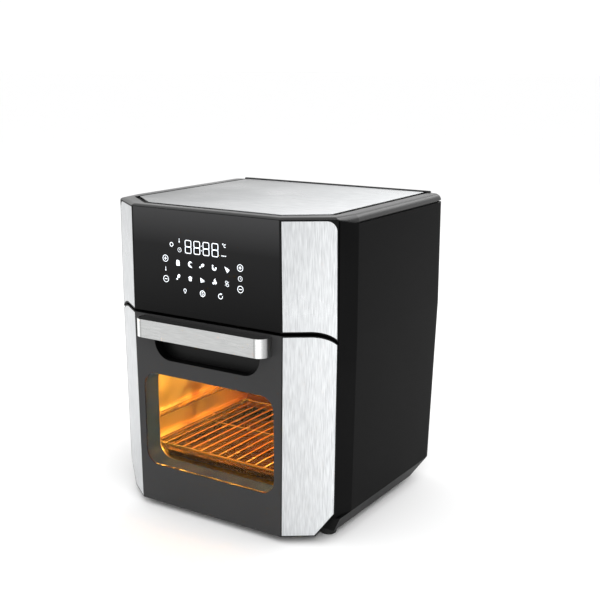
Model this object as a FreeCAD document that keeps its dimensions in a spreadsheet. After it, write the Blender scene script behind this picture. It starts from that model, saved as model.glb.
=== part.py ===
"""Countertop rotisserie oven: a parametric assembly of separate solids.

Frame: millimetres, +Z up, front face towards -Y, X = 0 on the middle plane.
The origin is on the surface the oven stands on, at the middle of its overall box.
"""
import FreeCAD, Part
import math
import os
import Sketcher

LEFT, RIGHT = -1, 1

DIMENSIONS = {
    # Overall outline, seen from above
    "body_half": 159,          # half width over the side panels
    "face_front": 138,         # front face ahead of the origin
    "face_half": 104,          # half width of the flat front face at the waist
    "facet_angle": 35.6,       # the steel corner facets turn back this much
    "facet_length": 61,
    "strip_front": 101,        # where the side panels start, behind the facets
    "strip_rear": 71,
    "rear_depth": 146,         # rear cover behind the origin, at the waist
    "rear_corner": 14,
    "overall_rear": 156,       # wall spacers reach this far back
    # Heights
    "pan_foot": 10.8,
    "pan_half": 147,           # half width of the base pan's flat underside
    "pan_front": 96,
    "pan_rear": 108,
    "waist": 245.5,            # split between the door and the control panel
    "split_gap": 3.6,
    "sweep_run": 17.5,         # the split line sweeps down over this run ...
    "sweep_drop": 10,          # ... by this much at the rear of the facets
    "frame_foot": 236,
    "frame_top": 368.9,
    "side_foot": 28.4,
    "side_kink": 236,
    "side_top": 361.8,
    "strip_top": 367.9,        # the side panels' front strips rise to the front frame
    "plate_top": 372,
    # How far the outline leans in, measured at the top and at the foot
    "face_lean_top": 1.5,
    "face_lean_foot": 2.3,
    "side_lean_foot": 4,
    "rear_lean_top": 2,
    "rear_lean_foot": 7,
    # Sheet and shell thicknesses
    "shell": 2.5,
    "door_shell": 3,
    "sheet": 0.8,
    "skin": 1,                 # brushed steel skins
    "rim": 1.3,                # black edge left showing round each skin
    # Top plate
    "plate_front": 120,
    "plate_front_half": 92,
    "plate_side_front": 87,
    "plate_half": 134.5,
    "plate_rear": 135.5,
    "plate_thickness": 1.3,
    "plate_front_mitre": 0.34,  # how far a cut corner's ends move along when it grows
    "plate_side_mitre": 0.49,
    # Surround of the top plate
    "bezel_top": 371.6,
    "bezel_roll": 7.8,         # radius its top rolls down by
    "bezel_overhang": 2.6,     # the roll would end this far in front of the face
    "bezel_front_foot": 369.3,
    "bezel_side_foot": 364.2,
    "bezel_lip": 359.5,        # a lip inside the walls reaches down to here
    "groove": 6,               # dark groove round the plate
    "groove_rear": 3,
    "groove_foot": 368.4,
    "bezel_ceiling": 366.9,
    "bead_top": 373.4,         # a raised bead closes the groove behind the plate
    "bead_half": 141,
    "bead_width": 3.4,
    # Door
    "door_foot": 8.5,
    "door_rear": 102.5,
    "cut_foot": 115,           # the door's lower rear corner is cut away from here ...
    "cut_top": 36,             # ... up to this height, so that it clears the base
    "hinge_depth": 126,
    "hinge_height": 22.5,
    "hinge_middle": 95.25,
    "hinge_plate": 2.5,
    "hinge_notch": 6.5,
    "hinge_lug": 5,
    "pin_r": 2.5,
    "pin_clearance": 0.05,
    "window_half": 93,
    "window_foot": 56.5,
    "window_top": 172.5,
    "window_r": 18,
    "tunnel_rear": 113,
    "glass": 3,
    "recess_half": 75,
    "recess_flat": 52,
    "recess_r": 23,
    "recess_foot": 191,
    "recess_top": 236,
    "recess_depth": 14,
    # Handle
    "handle_front": 156,
    "handle_half": 91,
    "handle_r": 11,
    "handle_foot": 220,
    "handle_height": 21.5,
    "handle_bar": 9,
    "handle_screw_x": 82,
    "handle_screw_z": 231,
    "grip_half": 72,
    # Cavity
    "cavity_half": 122,
    "cavity_front": 99.5,
    "cavity_rear": 112,
    "cavity_floor": 48,
    "cavity_top": 226,
    "flange_half": 146,
    "flange_foot": 34,
    "flange_top": 240,
    # Fan and heater
    "fan_y": 6,
    "hood_r": 92,
    "hood_top": 254,
    "heater_z": 235,
    "heater_outer": 82,
    "heater_inner": 67,
    "heater_r": 3.25,
    "shaft_r": 4,
    # Spit
    "spit_y": 6,
    "spit_z": 134,
    "spit_side": 7.8,
    "spit_half": 117,
    "tine_reach": 19,
    "tine_length": 52,
    # Racks
    "rack_z": 64,
    "rack_half": 117,
    "rack_front": 93,
    "rack_rear": 104,
    "wire_r": 1.25,
    "tray_half": 110,
    "tray_foot": 48.4,
    "tray_top": 57.5,
    # Door switch
    "switch_x": -132.5,
    "switch_z": 150,
    # Lamp
    "lamp_y": 30,
    "lamp_z": 196,
    "lamp_hole": 17,
}


class Size:
    """A length that knows its number and the spreadsheet expression behind it."""

    def __init__(self, value, text):
        self.value = float(value)
        self.text = text

    def __add__(self, other):
        other = size(other)
        return Size(self.value + other.value, f"({self.text} + {other.text})")

    def __sub__(self, other):
        other = size(other)
        return Size(self.value - other.value, f"({self.text} - {other.text})")

    def __mul__(self, other):
        other = size(other)
        return Size(self.value * other.value, f"({self.text} * {other.text})")

    def __truediv__(self, other):
        other = size(other)
        return Size(self.value / other.value, f"({self.text} / {other.text})")

    def __neg__(self):
        return Size(-self.value, f"(0 - {self.text})")

    __radd__ = __add__
    __rmul__ = __mul__

    def __rsub__(self, other):
        return size(other) - self


def size(number):
    return number if isinstance(number, Size) else Size(number, f"({number!r})")


def cos_of(angle):
    return Size(math.cos(math.radians(angle.value)), f"cos({angle.text})")


def sin_of(angle):
    return Size(math.sin(math.radians(angle.value)), f"sin({angle.text})")


class Sheet:
    """The spreadsheet's cells by alias, as sizes."""

    def __getattr__(self, alias):
        return Size(DIMENSIONS[alias], f"Dims.{alias}")


dim = Sheet()
doc = FreeCAD.newDocument("RotisserieOven")
cells = doc.addObject("Spreadsheet::Sheet", "Dims")
for row, (alias, number) in enumerate(DIMENSIONS.items(), start=1):
    cells.set(f"A{row}", alias)
    cells.set(f"B{row}", str(number))
    cells.setAlias(f"B{row}", alias)
doc.recompute()

kept = []


def keep(item, label):
    """Name a finished sub-part; its label is also its file's name."""
    item.Label = label
    kept.append(item)
    return item


# ---------------------------------------------------------------- sketches and features

PLANE_NORMAL = {"XY": 1, "XZ": -1, "YZ": 1}


def new_body(label):
    body = doc.addObject("PartDesign::Body", f"Body_{label}")
    return keep(body, label)


def tool_body(name):
    return doc.addObject("PartDesign::Body", f"Tool_{name}")


def plane_sketch(body, plane, level):
    """An empty sketch on one of the body's origin planes, moved along its normal to level."""
    sketch = body.newObject("Sketcher::SketchObject", "Sketch")
    role = f"{plane}_Plane"
    support = next(item for item in body.Origin.OriginFeatures if item.Role == role)
    sketch.AttachmentSupport = [(support, "")]
    sketch.MapMode = "FlatFace"
    offset = size(level) * PLANE_NORMAL[plane]
    sketch.AttachmentOffset.Base.z = offset.value
    sketch.setExpression("AttachmentOffset.Base.z", offset.text)
    return sketch


def bind(sketch, kind, *where, to):
    number = sketch.addConstraint(Sketcher.Constraint(kind, *where, to.value))
    sketch.setExpression(f"Constraints[{number}]", to.text)


def arc_between(start, end, radius):
    """Arc from start to end; a positive radius turns left, a negative one right."""
    chord = end - start
    middle = (start + end) * 0.5
    left = FreeCAD.Vector(-chord.y, chord.x, 0).normalize()
    rise = math.sqrt(max(radius ** 2 - (chord.Length / 2) ** 2, 0))
    centre = middle + left * rise * (1 if radius > 0 else -1)
    first, last = (start, end) if radius > 0 else (end, start)
    begin = math.atan2(first.y - centre.y, first.x - centre.x)
    finish = math.atan2(last.y - centre.y, last.x - centre.x)
    circle = Part.Circle(centre, FreeCAD.Vector(0, 0, 1), abs(radius))
    return Part.ArcOfCircle(circle, begin, finish)


def outline(sketch, corners):
    """Closed outline through (x, y) corners; (x, y, radius) starts an arc to the next one."""
    spots = [FreeCAD.Vector(size(c[0]).value, size(c[1]).value, 0) for c in corners]
    ends = []
    for index, corner in enumerate(corners):
        start, end = spots[index], spots[(index + 1) % len(corners)]
        if len(corner) == 2:
            edge = sketch.addGeometry(Part.LineSegment(start, end))
            ends.append((edge, 1, 2))
        else:
            radius = size(corner[2])
            edge = sketch.addGeometry(arc_between(start, end, radius.value))
            ends.append((edge, 1, 2) if radius.value > 0 else (edge, 2, 1))
    for index, (edge, first, last) in enumerate(ends):
        following, its_first, _ = ends[(index + 1) % len(ends)]
        sketch.addConstraint(Sketcher.Constraint("Coincident", edge, last, following, its_first))
    for (edge, first, _), corner in zip(ends, corners):
        bind(sketch, "DistanceX", -1, 1, edge, first, to=size(corner[0]))
        bind(sketch, "DistanceY", -1, 1, edge, first, to=size(corner[1]))
        if len(corner) == 3:
            radius = size(corner[2])
            bind(sketch, "Radius", edge, to=radius if radius.value > 0 else -radius)


def circle(sketch, x, y, radius):
    x, y, radius = size(x), size(y), size(radius)
    centre = FreeCAD.Vector(x.value, y.value, 0)
    ring = Part.Circle(centre, FreeCAD.Vector(0, 0, 1), radius.value)
    edge = sketch.addGeometry(ring)
    bind(sketch, "DistanceX", -1, 1, edge, 3, to=x)
    bind(sketch, "DistanceY", -1, 1, edge, 3, to=y)
    bind(sketch, "Radius", edge, to=radius)


def rectangle(low, high):
    (x0, y0), (x1, y1) = low, high
    return [(x0, y0), (x1, y0), (x1, y1), (x0, y1)]


def rounded(low, high, radius):
    """Corners of a rectangle with rounded corners, anticlockwise."""
    (x0, y0), (x1, y1) = [(size(x), size(y)) for x, y in (low, high)]
    r = size(radius)
    return [(x0 + r, y0), (x1 - r, y0, r), (x1, y0 + r), (x1, y1 - r, r),
            (x1 - r, y1), (x0 + r, y1, r), (x0, y1 - r), (x0, y0 + r, r)]


def mirrored(half):
    """A right-hand run of corners, closed by its mirror image at -x."""
    return half + [(-size(x), y) for x, y in reversed(half) if size(x).value != 0]


def slab(body, plane, shapes, start, end):
    """Pad outlines or (x, y, radius) circles drawn on a plane, from level start to end."""
    sketch = plane_sketch(body, plane, start)
    draw(sketch, shapes)
    pad = body.newObject("PartDesign::Pad", "Pad")
    pad.Profile = sketch
    pad.setExpression("Length", (size(end) - start).text)
    pad.Length = (size(end) - start).value
    pad.Reversed = PLANE_NORMAL[plane] < 0
    return pad


def cutout(body, plane, shapes, start, end):
    """Pocket outlines or circles drawn on a plane, from level start to end."""
    sketch = plane_sketch(body, plane, start)
    draw(sketch, shapes)
    pocket = body.newObject("PartDesign::Pocket", "Pocket")
    pocket.Profile = sketch
    pocket.setExpression("Length", (size(end) - start).text)
    pocket.Length = (size(end) - start).value
    pocket.Reversed = PLANE_NORMAL[plane] > 0
    return pocket


def draw(sketch, shapes):
    for shape in shapes:
        if isinstance(shape, tuple):
            circle(sketch, *shape)
        else:
            outline(sketch, shape)


def section_edges(corners, level):
    """The outline's edges at a height, as straight lines and arcs."""
    spots = [FreeCAD.Vector(size(c[0]).value, size(c[1]).value, 0) for c in corners]
    lift = FreeCAD.Placement(FreeCAD.Vector(0, 0, size(level).value), FreeCAD.Rotation())
    edges = []
    for index, corner in enumerate(corners):
        start, end = spots[index], spots[(index + 1) % len(corners)]
        if len(corner) == 2:
            edge = Part.LineSegment(start, end).toShape()
        else:
            edge = arc_between(start, end, size(corner[2]).value).toShape()
        edges.append(edge.transformed(lift.toMatrix()))
    return spots, edges


def leaning_prism(sections):
    """Solid through (level, corners) sections whose walls lean straight between levels."""
    faces = []
    previous = None
    for level, corners in sections:
        spots, edges = section_edges(corners, level)
        up = FreeCAD.Vector(0, 0, size(level).value)
        spots = [spot + up for spot in spots]
        if previous is None:
            faces.append(Part.Face(Part.Wire(Part.__sortEdges__(edges))))
        else:
            below, below_edges = previous
            for index, corner in enumerate(corners):
                after = (index + 1) % len(corners)
                if len(corner) == 2:
                    quad = [below[index], below[after], spots[after], spots[index],
                            below[index]]
                    faces.append(Part.Face(Part.makePolygon(quad)))
                else:
                    faces.append(below_edges[index].extrude(spots[index] - below[index]))
        previous = (spots, edges)
    faces.append(Part.Face(Part.Wire(Part.__sortEdges__(previous[1]))))
    shell = Part.makeShell(faces)
    shell.sewShape()
    solid = Part.makeSolid(shell)
    if solid.Volume < 0:
        solid.reverse()
    feature = doc.addObject("Part::Feature", "Prism")
    feature.Shape = solid
    return feature


def start_from_prism(body, sections):
    body.BaseFeature = leaning_prism(sections)


def repeat(body, feature, axis, step, count):
    """Repeat a feature along one of the body's origin axes."""
    pattern = body.newObject("PartDesign::LinearPattern", "Pattern")
    pattern.Originals = [feature]
    role = f"{axis}_Axis"
    line = next(item for item in body.Origin.OriginFeatures if item.Role == role)
    pattern.Direction = (line, [""])
    pattern.Length = size(step).value * (count - 1)
    pattern.setExpression("Length", (size(step) * (count - 1)).text)
    pattern.Occurrences = count
    body.Tip = pattern
    return pattern


def around(body, feature, count):
    """Repeat a feature round the body's own Z axis."""
    pattern = body.newObject("PartDesign::PolarPattern", "Polar")
    pattern.Originals = [feature]
    line = next(item for item in body.Origin.OriginFeatures if item.Role == "Z_Axis")
    pattern.Axis = (line, [""])
    pattern.Angle = 360
    pattern.Occurrences = count
    body.Tip = pattern
    return pattern


def round_edges(body, radius, chosen):
    """Fillet the edges of the body's last feature whose middle passes the test."""
    doc.recompute()
    base = body.Tip
    names = [f"Edge{index}" for index, edge in enumerate(base.Shape.Edges, start=1)
             if chosen(edge, edge.valueAt((edge.FirstParameter + edge.LastParameter) / 2))]
    fillet = body.newObject("PartDesign::Fillet", "Fillet")
    fillet.Base = (base, names)
    fillet.setExpression("Radius", size(radius).text)
    fillet.Radius = size(radius).value
    return fillet


# ---------------------------------------------------------------- primitives and booleans

def place(item, at, turn=None):
    for axis, value in zip("xyz", at):
        item.setExpression(f"Placement.Base.{axis}", size(value).text)
    spot = FreeCAD.Vector(*[size(value).value for value in at])
    item.Placement = FreeCAD.Placement(spot, turn or FreeCAD.Rotation())
    return item


TOWARDS = {
    "+X": FreeCAD.Rotation(FreeCAD.Vector(0, 1, 0), 90),
    "-X": FreeCAD.Rotation(FreeCAD.Vector(0, 1, 0), -90),
    "+Y": FreeCAD.Rotation(FreeCAD.Vector(1, 0, 0), -90),
    "-Y": FreeCAD.Rotation(FreeCAD.Vector(1, 0, 0), 90),
    "+Z": FreeCAD.Rotation(),
    "-Z": FreeCAD.Rotation(FreeCAD.Vector(1, 0, 0), 180),
}


def primitive(kind, at, turn=None, **sizes):
    item = doc.addObject(f"Part::{kind}", kind)
    for name, value in sizes.items():
        setattr(item, name, size(value).value)
        item.setExpression(name, size(value).text)
    return place(item, at, turn)


def rod(at, radius, length, towards):
    """A cylinder that starts at a point and runs along an axis."""
    return primitive("Cylinder", at, TOWARDS[towards], Radius=radius, Height=length)


def cone(at, start_r, end_r, length, towards):
    return primitive("Cone", at, TOWARDS[towards],
                     Radius1=start_r, Radius2=end_r, Height=length)


def block(low, high):
    """A box between two corners."""
    spans = [size(b) - a for a, b in zip(low, high)]
    return primitive("Box", low, Length=spans[0], Width=spans[1], Height=spans[2])


def ring(at, radius, tube):
    return primitive("Torus", at, Radius1=radius, Radius2=tube)


def fuse(*items):
    if len(items) == 1:
        return items[0]
    joined = doc.addObject("Part::MultiFuse", "Fuse")
    joined.Shapes = list(items)
    return joined


def cut(base, *tools):
    result = doc.addObject("Part::Cut", "Cut")
    result.Base = base
    result.Tool = fuse(*tools)
    return result


def common(first, second):
    result = doc.addObject("Part::Common", "Common")
    result.Base = first
    result.Tool = second
    return result


# ---------------------------------------------------------------- shared outlines

ALONG = (cos_of(dim.facet_angle), sin_of(dim.facet_angle))


def facet_point(lean, along, inset=0):
    """Point on a right-hand corner facet, so far along it and so far under its surface."""
    x = dim.face_half - lean + ALONG[0] * along - ALONG[1] * inset
    y = -dim.face_front + ALONG[1] * along + ALONG[0] * inset
    return (x, y)


def side_of(side, point):
    return (size(point[0]) * side, point[1])


def span_on(side, low, high):
    """An X interval on one side, given for the right-hand side."""
    return (low, high) if side == RIGHT else (-size(high), -size(low))


def swept_below(lift=0):
    """Everything below the split line, which sweeps down behind the face (Y, Z)."""
    top = dim.waist + lift
    turn_y = -(dim.door_rear + dim.sweep_run)
    end_y = -dim.door_rear
    radius = (dim.sweep_run * dim.sweep_run + dim.sweep_drop * dim.sweep_drop) \
        / (dim.sweep_drop * 2)
    low = dim.waist - 60
    return [(-170, low), (end_y + 5, low), (end_y + 5, top - dim.sweep_drop),
            (end_y, top - dim.sweep_drop, radius), (turn_y, top), (-170, top)]


def swept_above(lift=0):
    """Everything above the same line (Y, Z)."""
    top = dim.waist + lift
    turn_y = -(dim.door_rear + dim.sweep_run)
    end_y = -dim.door_rear
    radius = (dim.sweep_run * dim.sweep_run + dim.sweep_drop * dim.sweep_drop) \
        / (dim.sweep_drop * 2)
    high = dim.waist + 60
    return [(-170, high), (-170, top), (turn_y, top, -radius),
            (end_y, top - dim.sweep_drop), (end_y + 5, top - dim.sweep_drop),
            (end_y + 5, high)]


def facet_plate(body, side, levels, margin, outside=0, depth=dim.skin):
    """A thin plate on one corner facet, from outside its surface to a depth under it."""
    sections = []
    end = dim.facet_length - margin
    for level, lean in levels:
        run = (facet_point(lean, margin, -size(outside)), facet_point(lean, end, -size(outside)),
               facet_point(lean, end, depth), facet_point(lean, margin, depth))
        sections.append((level, [side_of(side, point) for point in run]))
    start_from_prism(body, sections)


def facet_seat(name, side, levels):
    """The pocket that a facet's steel skin sits in."""
    body = tool_body(name)
    facet_plate(body, side, levels, dim.rim - 0.1, outside=1, depth=dim.skin + 0.1)
    return body


UPPER_LEVELS = ((dim.frame_foot, size(0)), (dim.frame_top, dim.face_lean_top))
DOOR_LEVELS = ((dim.door_foot, dim.face_lean_foot), (dim.waist, size(0)))


# ---------------------------------------------------------------- housing shells

def side_panel(label, side):
    """Side panel with its narrow front facet and half of the rounded rear corner."""
    body = new_body(label)
    wall = dim.shell
    levels = ((dim.side_foot, dim.side_lean_foot, dim.rear_lean_foot),
              (dim.side_kink, size(0), size(0)),
              (dim.strip_top, size(0), dim.rear_lean_top))
    sections = []
    for level, lean, rear_lean in levels:
        edge = dim.body_half - lean
        front = dim.face_half + ALONG[0] * dim.facet_length - lean
        rear = dim.rear_depth - rear_lean
        corner = dim.rear_corner
        turn = 1 if side == RIGHT else -1
        run = [(front, -dim.strip_front), (edge, -dim.strip_rear),
               (edge, rear - corner, corner * turn), (edge - corner, rear),
               (edge - corner, rear - wall, -(corner - wall) * turn),
               (edge - wall, rear - corner), (edge - wall, -dim.strip_rear + 0.5),
               (front - wall, -dim.strip_front)]
        sections.append((level, [side_of(side, c[:2]) + tuple(c[2:]) for c in run]))
    start_from_prism(body, sections)
    above = [(-dim.strip_front, dim.strip_top), (-dim.strip_rear, dim.side_top),
             (170, dim.side_top), (170, 400), (-dim.strip_front, 400)]
    cutout(body, "YZ", [above], -170, 170)


side_panel("side_panel_left", LEFT)
side_panel("side_panel_right", RIGHT)


def rear_cover():
    """Rear cover between the two side panels, with two fields of vent slots."""
    body = new_body("rear_cover")
    half = dim.body_half - dim.rear_corner - 0.3
    sections = []
    for level, lean, rear_lean in ((dim.side_foot, dim.side_lean_foot, dim.rear_lean_foot),
                                   (dim.side_kink, 0, 0),
                                   (dim.side_top, 0, dim.rear_lean_top)):
        rear = dim.rear_depth - rear_lean
        sections.append((level, rectangle((-(half - lean), rear - 2), (half - lean, rear))))
    start_from_prism(body, sections)
    behind = dim.rear_depth - 20
    upper = cutout(body, "XZ", [rounded((-88, 288), (-84.8, 326), 1.5)], behind, 165)
    repeat(body, upper, "X", 8, 23)
    lower = cutout(body, "XZ", [rounded((-56, 70), (-52.8, 92), 1.5)], behind, 165)
    repeat(body, lower, "X", 8, 15)
    cutout(body, "XZ", [(-96, 62, 7.05)], behind, 165)
    screws = [(x, z, 1.75) for x in (-132, 132) for z in (50, 200, 350)]
    cutout(body, "XZ", screws, behind, 165)
    cutout(body, "XZ", [(-100, 205, 3.05), (100, 205, 3.05)], behind, 165)


rear_cover()


def base_pan():
    """Bottom tray; its walls flare out to meet the side panels."""
    body = new_body("base_pan")
    wall = dim.shell
    low, high = dim.pan_foot, dim.side_foot - 0.3
    top_half = dim.body_half - dim.side_lean_foot
    top_rear = dim.rear_depth - dim.rear_lean_foot - 0.5

    def ring_at(inset, half, front, rear):
        half, front, rear = half - inset, front - inset, rear - inset
        corner = dim.rear_corner - inset
        return [(-half, -front), (half, -front), (half, rear - corner, corner),
                (half - corner, rear), (-(half - corner), rear, corner), (-half, rear - corner)]
    outer = leaning_prism([(low, ring_at(0, dim.pan_half, dim.pan_front, dim.pan_rear)),
                           (high, ring_at(0, top_half, dim.pan_front + 1.5, top_rear))])
    inner = leaning_prism([
        (low + wall, ring_at(wall, dim.pan_half, dim.pan_front, dim.pan_rear + 2)),
        (high + 1, ring_at(wall, top_half, dim.pan_front + 1.5, top_rear + 1))])
    body.BaseFeature = cut(outer, inner)
    slot = cutout(body, "XY", [rounded((-50, -30), (-46.5, 30), 1.7)], low - 1, low + 4)
    repeat(body, slot, "X", 9, 12)


base_pan()


def top_outline(outside=0):
    """Outline of the top in plan; its front and facets may stand outside the walls."""
    lean = dim.face_lean_top
    corner_x = dim.face_half - lean + size(outside) * (1 - ALONG[0]) / ALONG[1]
    facet_end = facet_point(lean, dim.facet_length, -size(outside))
    half, corner = dim.body_half, dim.rear_corner
    strip_x = dim.face_half + ALONG[0] * dim.facet_length
    rear = dim.rear_depth - dim.rear_lean_top
    front = [(corner_x, -dim.face_front - outside), facet_end]
    if size(outside).value == 0:
        front.append((strip_x, -dim.strip_front))
    front.append((half, -dim.strip_rear))
    return front + [(half, rear - corner, corner), (half - corner, rear),
                    (-(half - corner), rear, corner), (-half, rear - corner)] \
        + [(-size(x), y) for x, y in reversed(front)]


def plate_corners(grow=0, grow_rear=None):
    """The top plate: a rectangle with its two front corners cut."""
    grow = size(grow)
    rear = dim.plate_rear + (grow if grow_rear is None else grow_rear)
    half, front_half = dim.plate_half + grow, dim.plate_front_half + grow * dim.plate_front_mitre
    side_front = dim.plate_side_front + grow * dim.plate_side_mitre
    return [(-front_half, -dim.plate_front - grow), (front_half, -dim.plate_front - grow),
            (half, -side_front), (half, rear), (-half, rear), (-half, -side_front)]


def top_bezel():
    """Surround of the top plate: a rolled edge, a groove, a rear bead and an inner lip."""
    body = new_body("top_bezel")
    crown = dim.bezel_top
    slab(body, "XY", [top_outline(dim.bezel_overhang)], dim.bezel_lip, crown)
    round_edges(body, dim.bezel_roll, lambda edge, spot: abs(spot.z - crown.value) < 0.01)
    all_round = rectangle((-200, -200), (200, 200))
    cutout(body, "XY", [all_round, top_outline()], 300, 400)
    below = [(-170, dim.bezel_front_foot), (-dim.strip_front - 1, dim.bezel_front_foot),
             (-dim.strip_front, dim.strip_top + 0.6), (-dim.strip_rear, dim.bezel_side_foot),
             (170, dim.bezel_side_foot), (170, 300), (-170, 300)]
    cutout(body, "YZ", [below], -200, 200)
    inset = 6
    lip_side = dim.body_half - 3.4
    lip = mirrored([facet_point(dim.face_lean_top, inset, inset),
                    facet_point(dim.face_lean_top, dim.facet_length, inset),
                    (lip_side, -dim.strip_rear + 2), (lip_side, 129), (144, 140.6)])
    slab(body, "XY", [lip], dim.bezel_lip, dim.bezel_front_foot + 0.2)
    groove = plate_corners(dim.groove, dim.groove_rear)
    seat = dim.plate_top - dim.plate_thickness - 0.05
    cutout(body, "XY", [groove], seat, 400)
    cutout(body, "XY", [groove, plate_corners(-0.5)], dim.groove_foot, 400)
    cutout(body, "XY", [rectangle((-138, -118), (138, 132))], 350, dim.bezel_ceiling)
    bead_front = dim.plate_rear + dim.groove_rear
    bead = rectangle((-dim.bead_half, bead_front), (dim.bead_half, bead_front + dim.bead_width))
    slab(body, "XY", [bead], dim.bezel_ceiling, dim.bead_top)
    round_edges(body, 1.2, lambda edge, spot: abs(spot.z - dim.bead_top.value) < 0.01)


top_bezel()


def top_plate():
    body = new_body("top_plate")
    thickness = dim.plate_thickness
    slab(body, "XY", [plate_corners()], dim.plate_top - thickness, dim.plate_top)
    round_edges(body, 3, lambda edge, spot: abs(edge.Length - thickness.value) < 0.01)


top_plate()

# ---------------------------------------------------------------- upper front


def front_frame():
    """Black frame behind the control panel; it carries the steel corner trims."""
    shell = tool_body("front_frame")
    wall = dim.door_shell
    front_y = dim.face_front - 2.6
    sections = []
    for level, lean in UPPER_LEVELS:
        corner = facet_point(lean, 0)
        inner_end = facet_point(lean, dim.facet_length, wall)[0] - 1
        half = [(corner[0] - dim.rim, -front_y), (corner[0] - dim.rim, -dim.face_front),
                corner, facet_point(lean, dim.facet_length), (inner_end, -dim.door_rear),
                (dim.face_half - lean - 1.6, -front_y + wall)]
        sections.append((level, mirrored(half)))
    start_from_prism(shell, sections)
    foot = dim.split_gap / 2
    cutout(shell, "YZ", [swept_below(foot)], -170, 170)
    cutout(shell, "XZ", [rounded((-76, 262), (76, 354), 6)], -150, -120)
    shelf_foot = dim.waist + foot + 0.1
    shelf = block((-100, -132.4, shelf_foot), (100, -100.5, shelf_foot + 2))
    lips = []
    for side in (LEFT, RIGHT):
        low, high = span_on(side, size(60), size(149))
        lips.append(block((low, -101.9, 229), (high, -100.5, 262)))
    seats = []
    for side, word in ((LEFT, "left"), (RIGHT, "right")):
        seat = facet_seat(f"seat_{word}", side, UPPER_LEVELS)
        trim_edges(seat, side, 0.1)
        seats.append(seat)
    keep(cut(fuse(shell, shelf, *lips), *seats), "front_frame")


def trim_edges(body, side, grow=0):
    """Trim an upper skin to the split line and round its outer top corner."""
    cutout(body, "YZ", [swept_below(dim.split_gap / 2 + dim.rim - grow)], -170, 170)
    top = dim.frame_top - dim.rim + grow
    cutout(body, "XZ", [rectangle((-170, top), (170, top + 40))], -170, 0)
    edge_x = size(facet_point(dim.face_lean_top, dim.facet_length - dim.rim)[0]).value
    round_edges(body, 11, lambda edge, spot: abs(spot.z - top.value) < 0.5
                and edge.Length < 2.5 and abs(abs(spot.x) - edge_x) < 2)


front_frame()


def upper_trim(label, side):
    body = new_body(label)
    facet_plate(body, side, UPPER_LEVELS, dim.rim)
    trim_edges(body, side)


upper_trim("upper_trim_left", LEFT)
upper_trim("upper_trim_right", RIGHT)


def control_panel():
    """Gloss panel over the display, inset in the front frame."""
    body = new_body("control_panel")
    low, high = dim.waist + dim.split_gap / 2 + 0.2, dim.frame_top - 0.1
    edge = dim.face_half - dim.rim - 0.3
    slab(body, "XZ", [[(-edge, low), (edge, low), (edge - dim.face_lean_top, high),
                       (-(edge - dim.face_lean_top), high)]],
         -dim.face_front + 0.1, -dim.face_front + 2.5)


control_panel()


# ---------------------------------------------------------------- door

def window_corners(grow=0, z_grow=None):
    more = size(grow)
    rise = more if z_grow is None else size(z_grow)
    return rounded((-dim.window_half - more, dim.window_foot - rise),
                   (dim.window_half + more, dim.window_top + rise), dim.window_r + more)


def recess_corners(grow=0):
    """Finger recess behind the handle, with rounded lower corners (X, Z)."""
    half, flat = dim.recess_half + grow, dim.recess_flat
    low, r = dim.recess_foot - grow, dim.recess_r + grow
    return [(-half, dim.recess_top + grow), (-half, low + r, r), (-flat, low), (flat, low, r),
            (half, low + r), (half, dim.recess_top + grow)]


def door_cut_corners(inset=0):
    """Everything behind the door's lower rear cut (Y, Z)."""
    return [(-dim.cut_foot - inset, dim.door_foot - 5), (-dim.cut_foot - inset, dim.door_foot),
            (-dim.door_rear, dim.cut_top + inset), (-dim.door_rear + 5, dim.cut_top + inset),
            (-dim.door_rear + 5, dim.door_foot - 5)]


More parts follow.
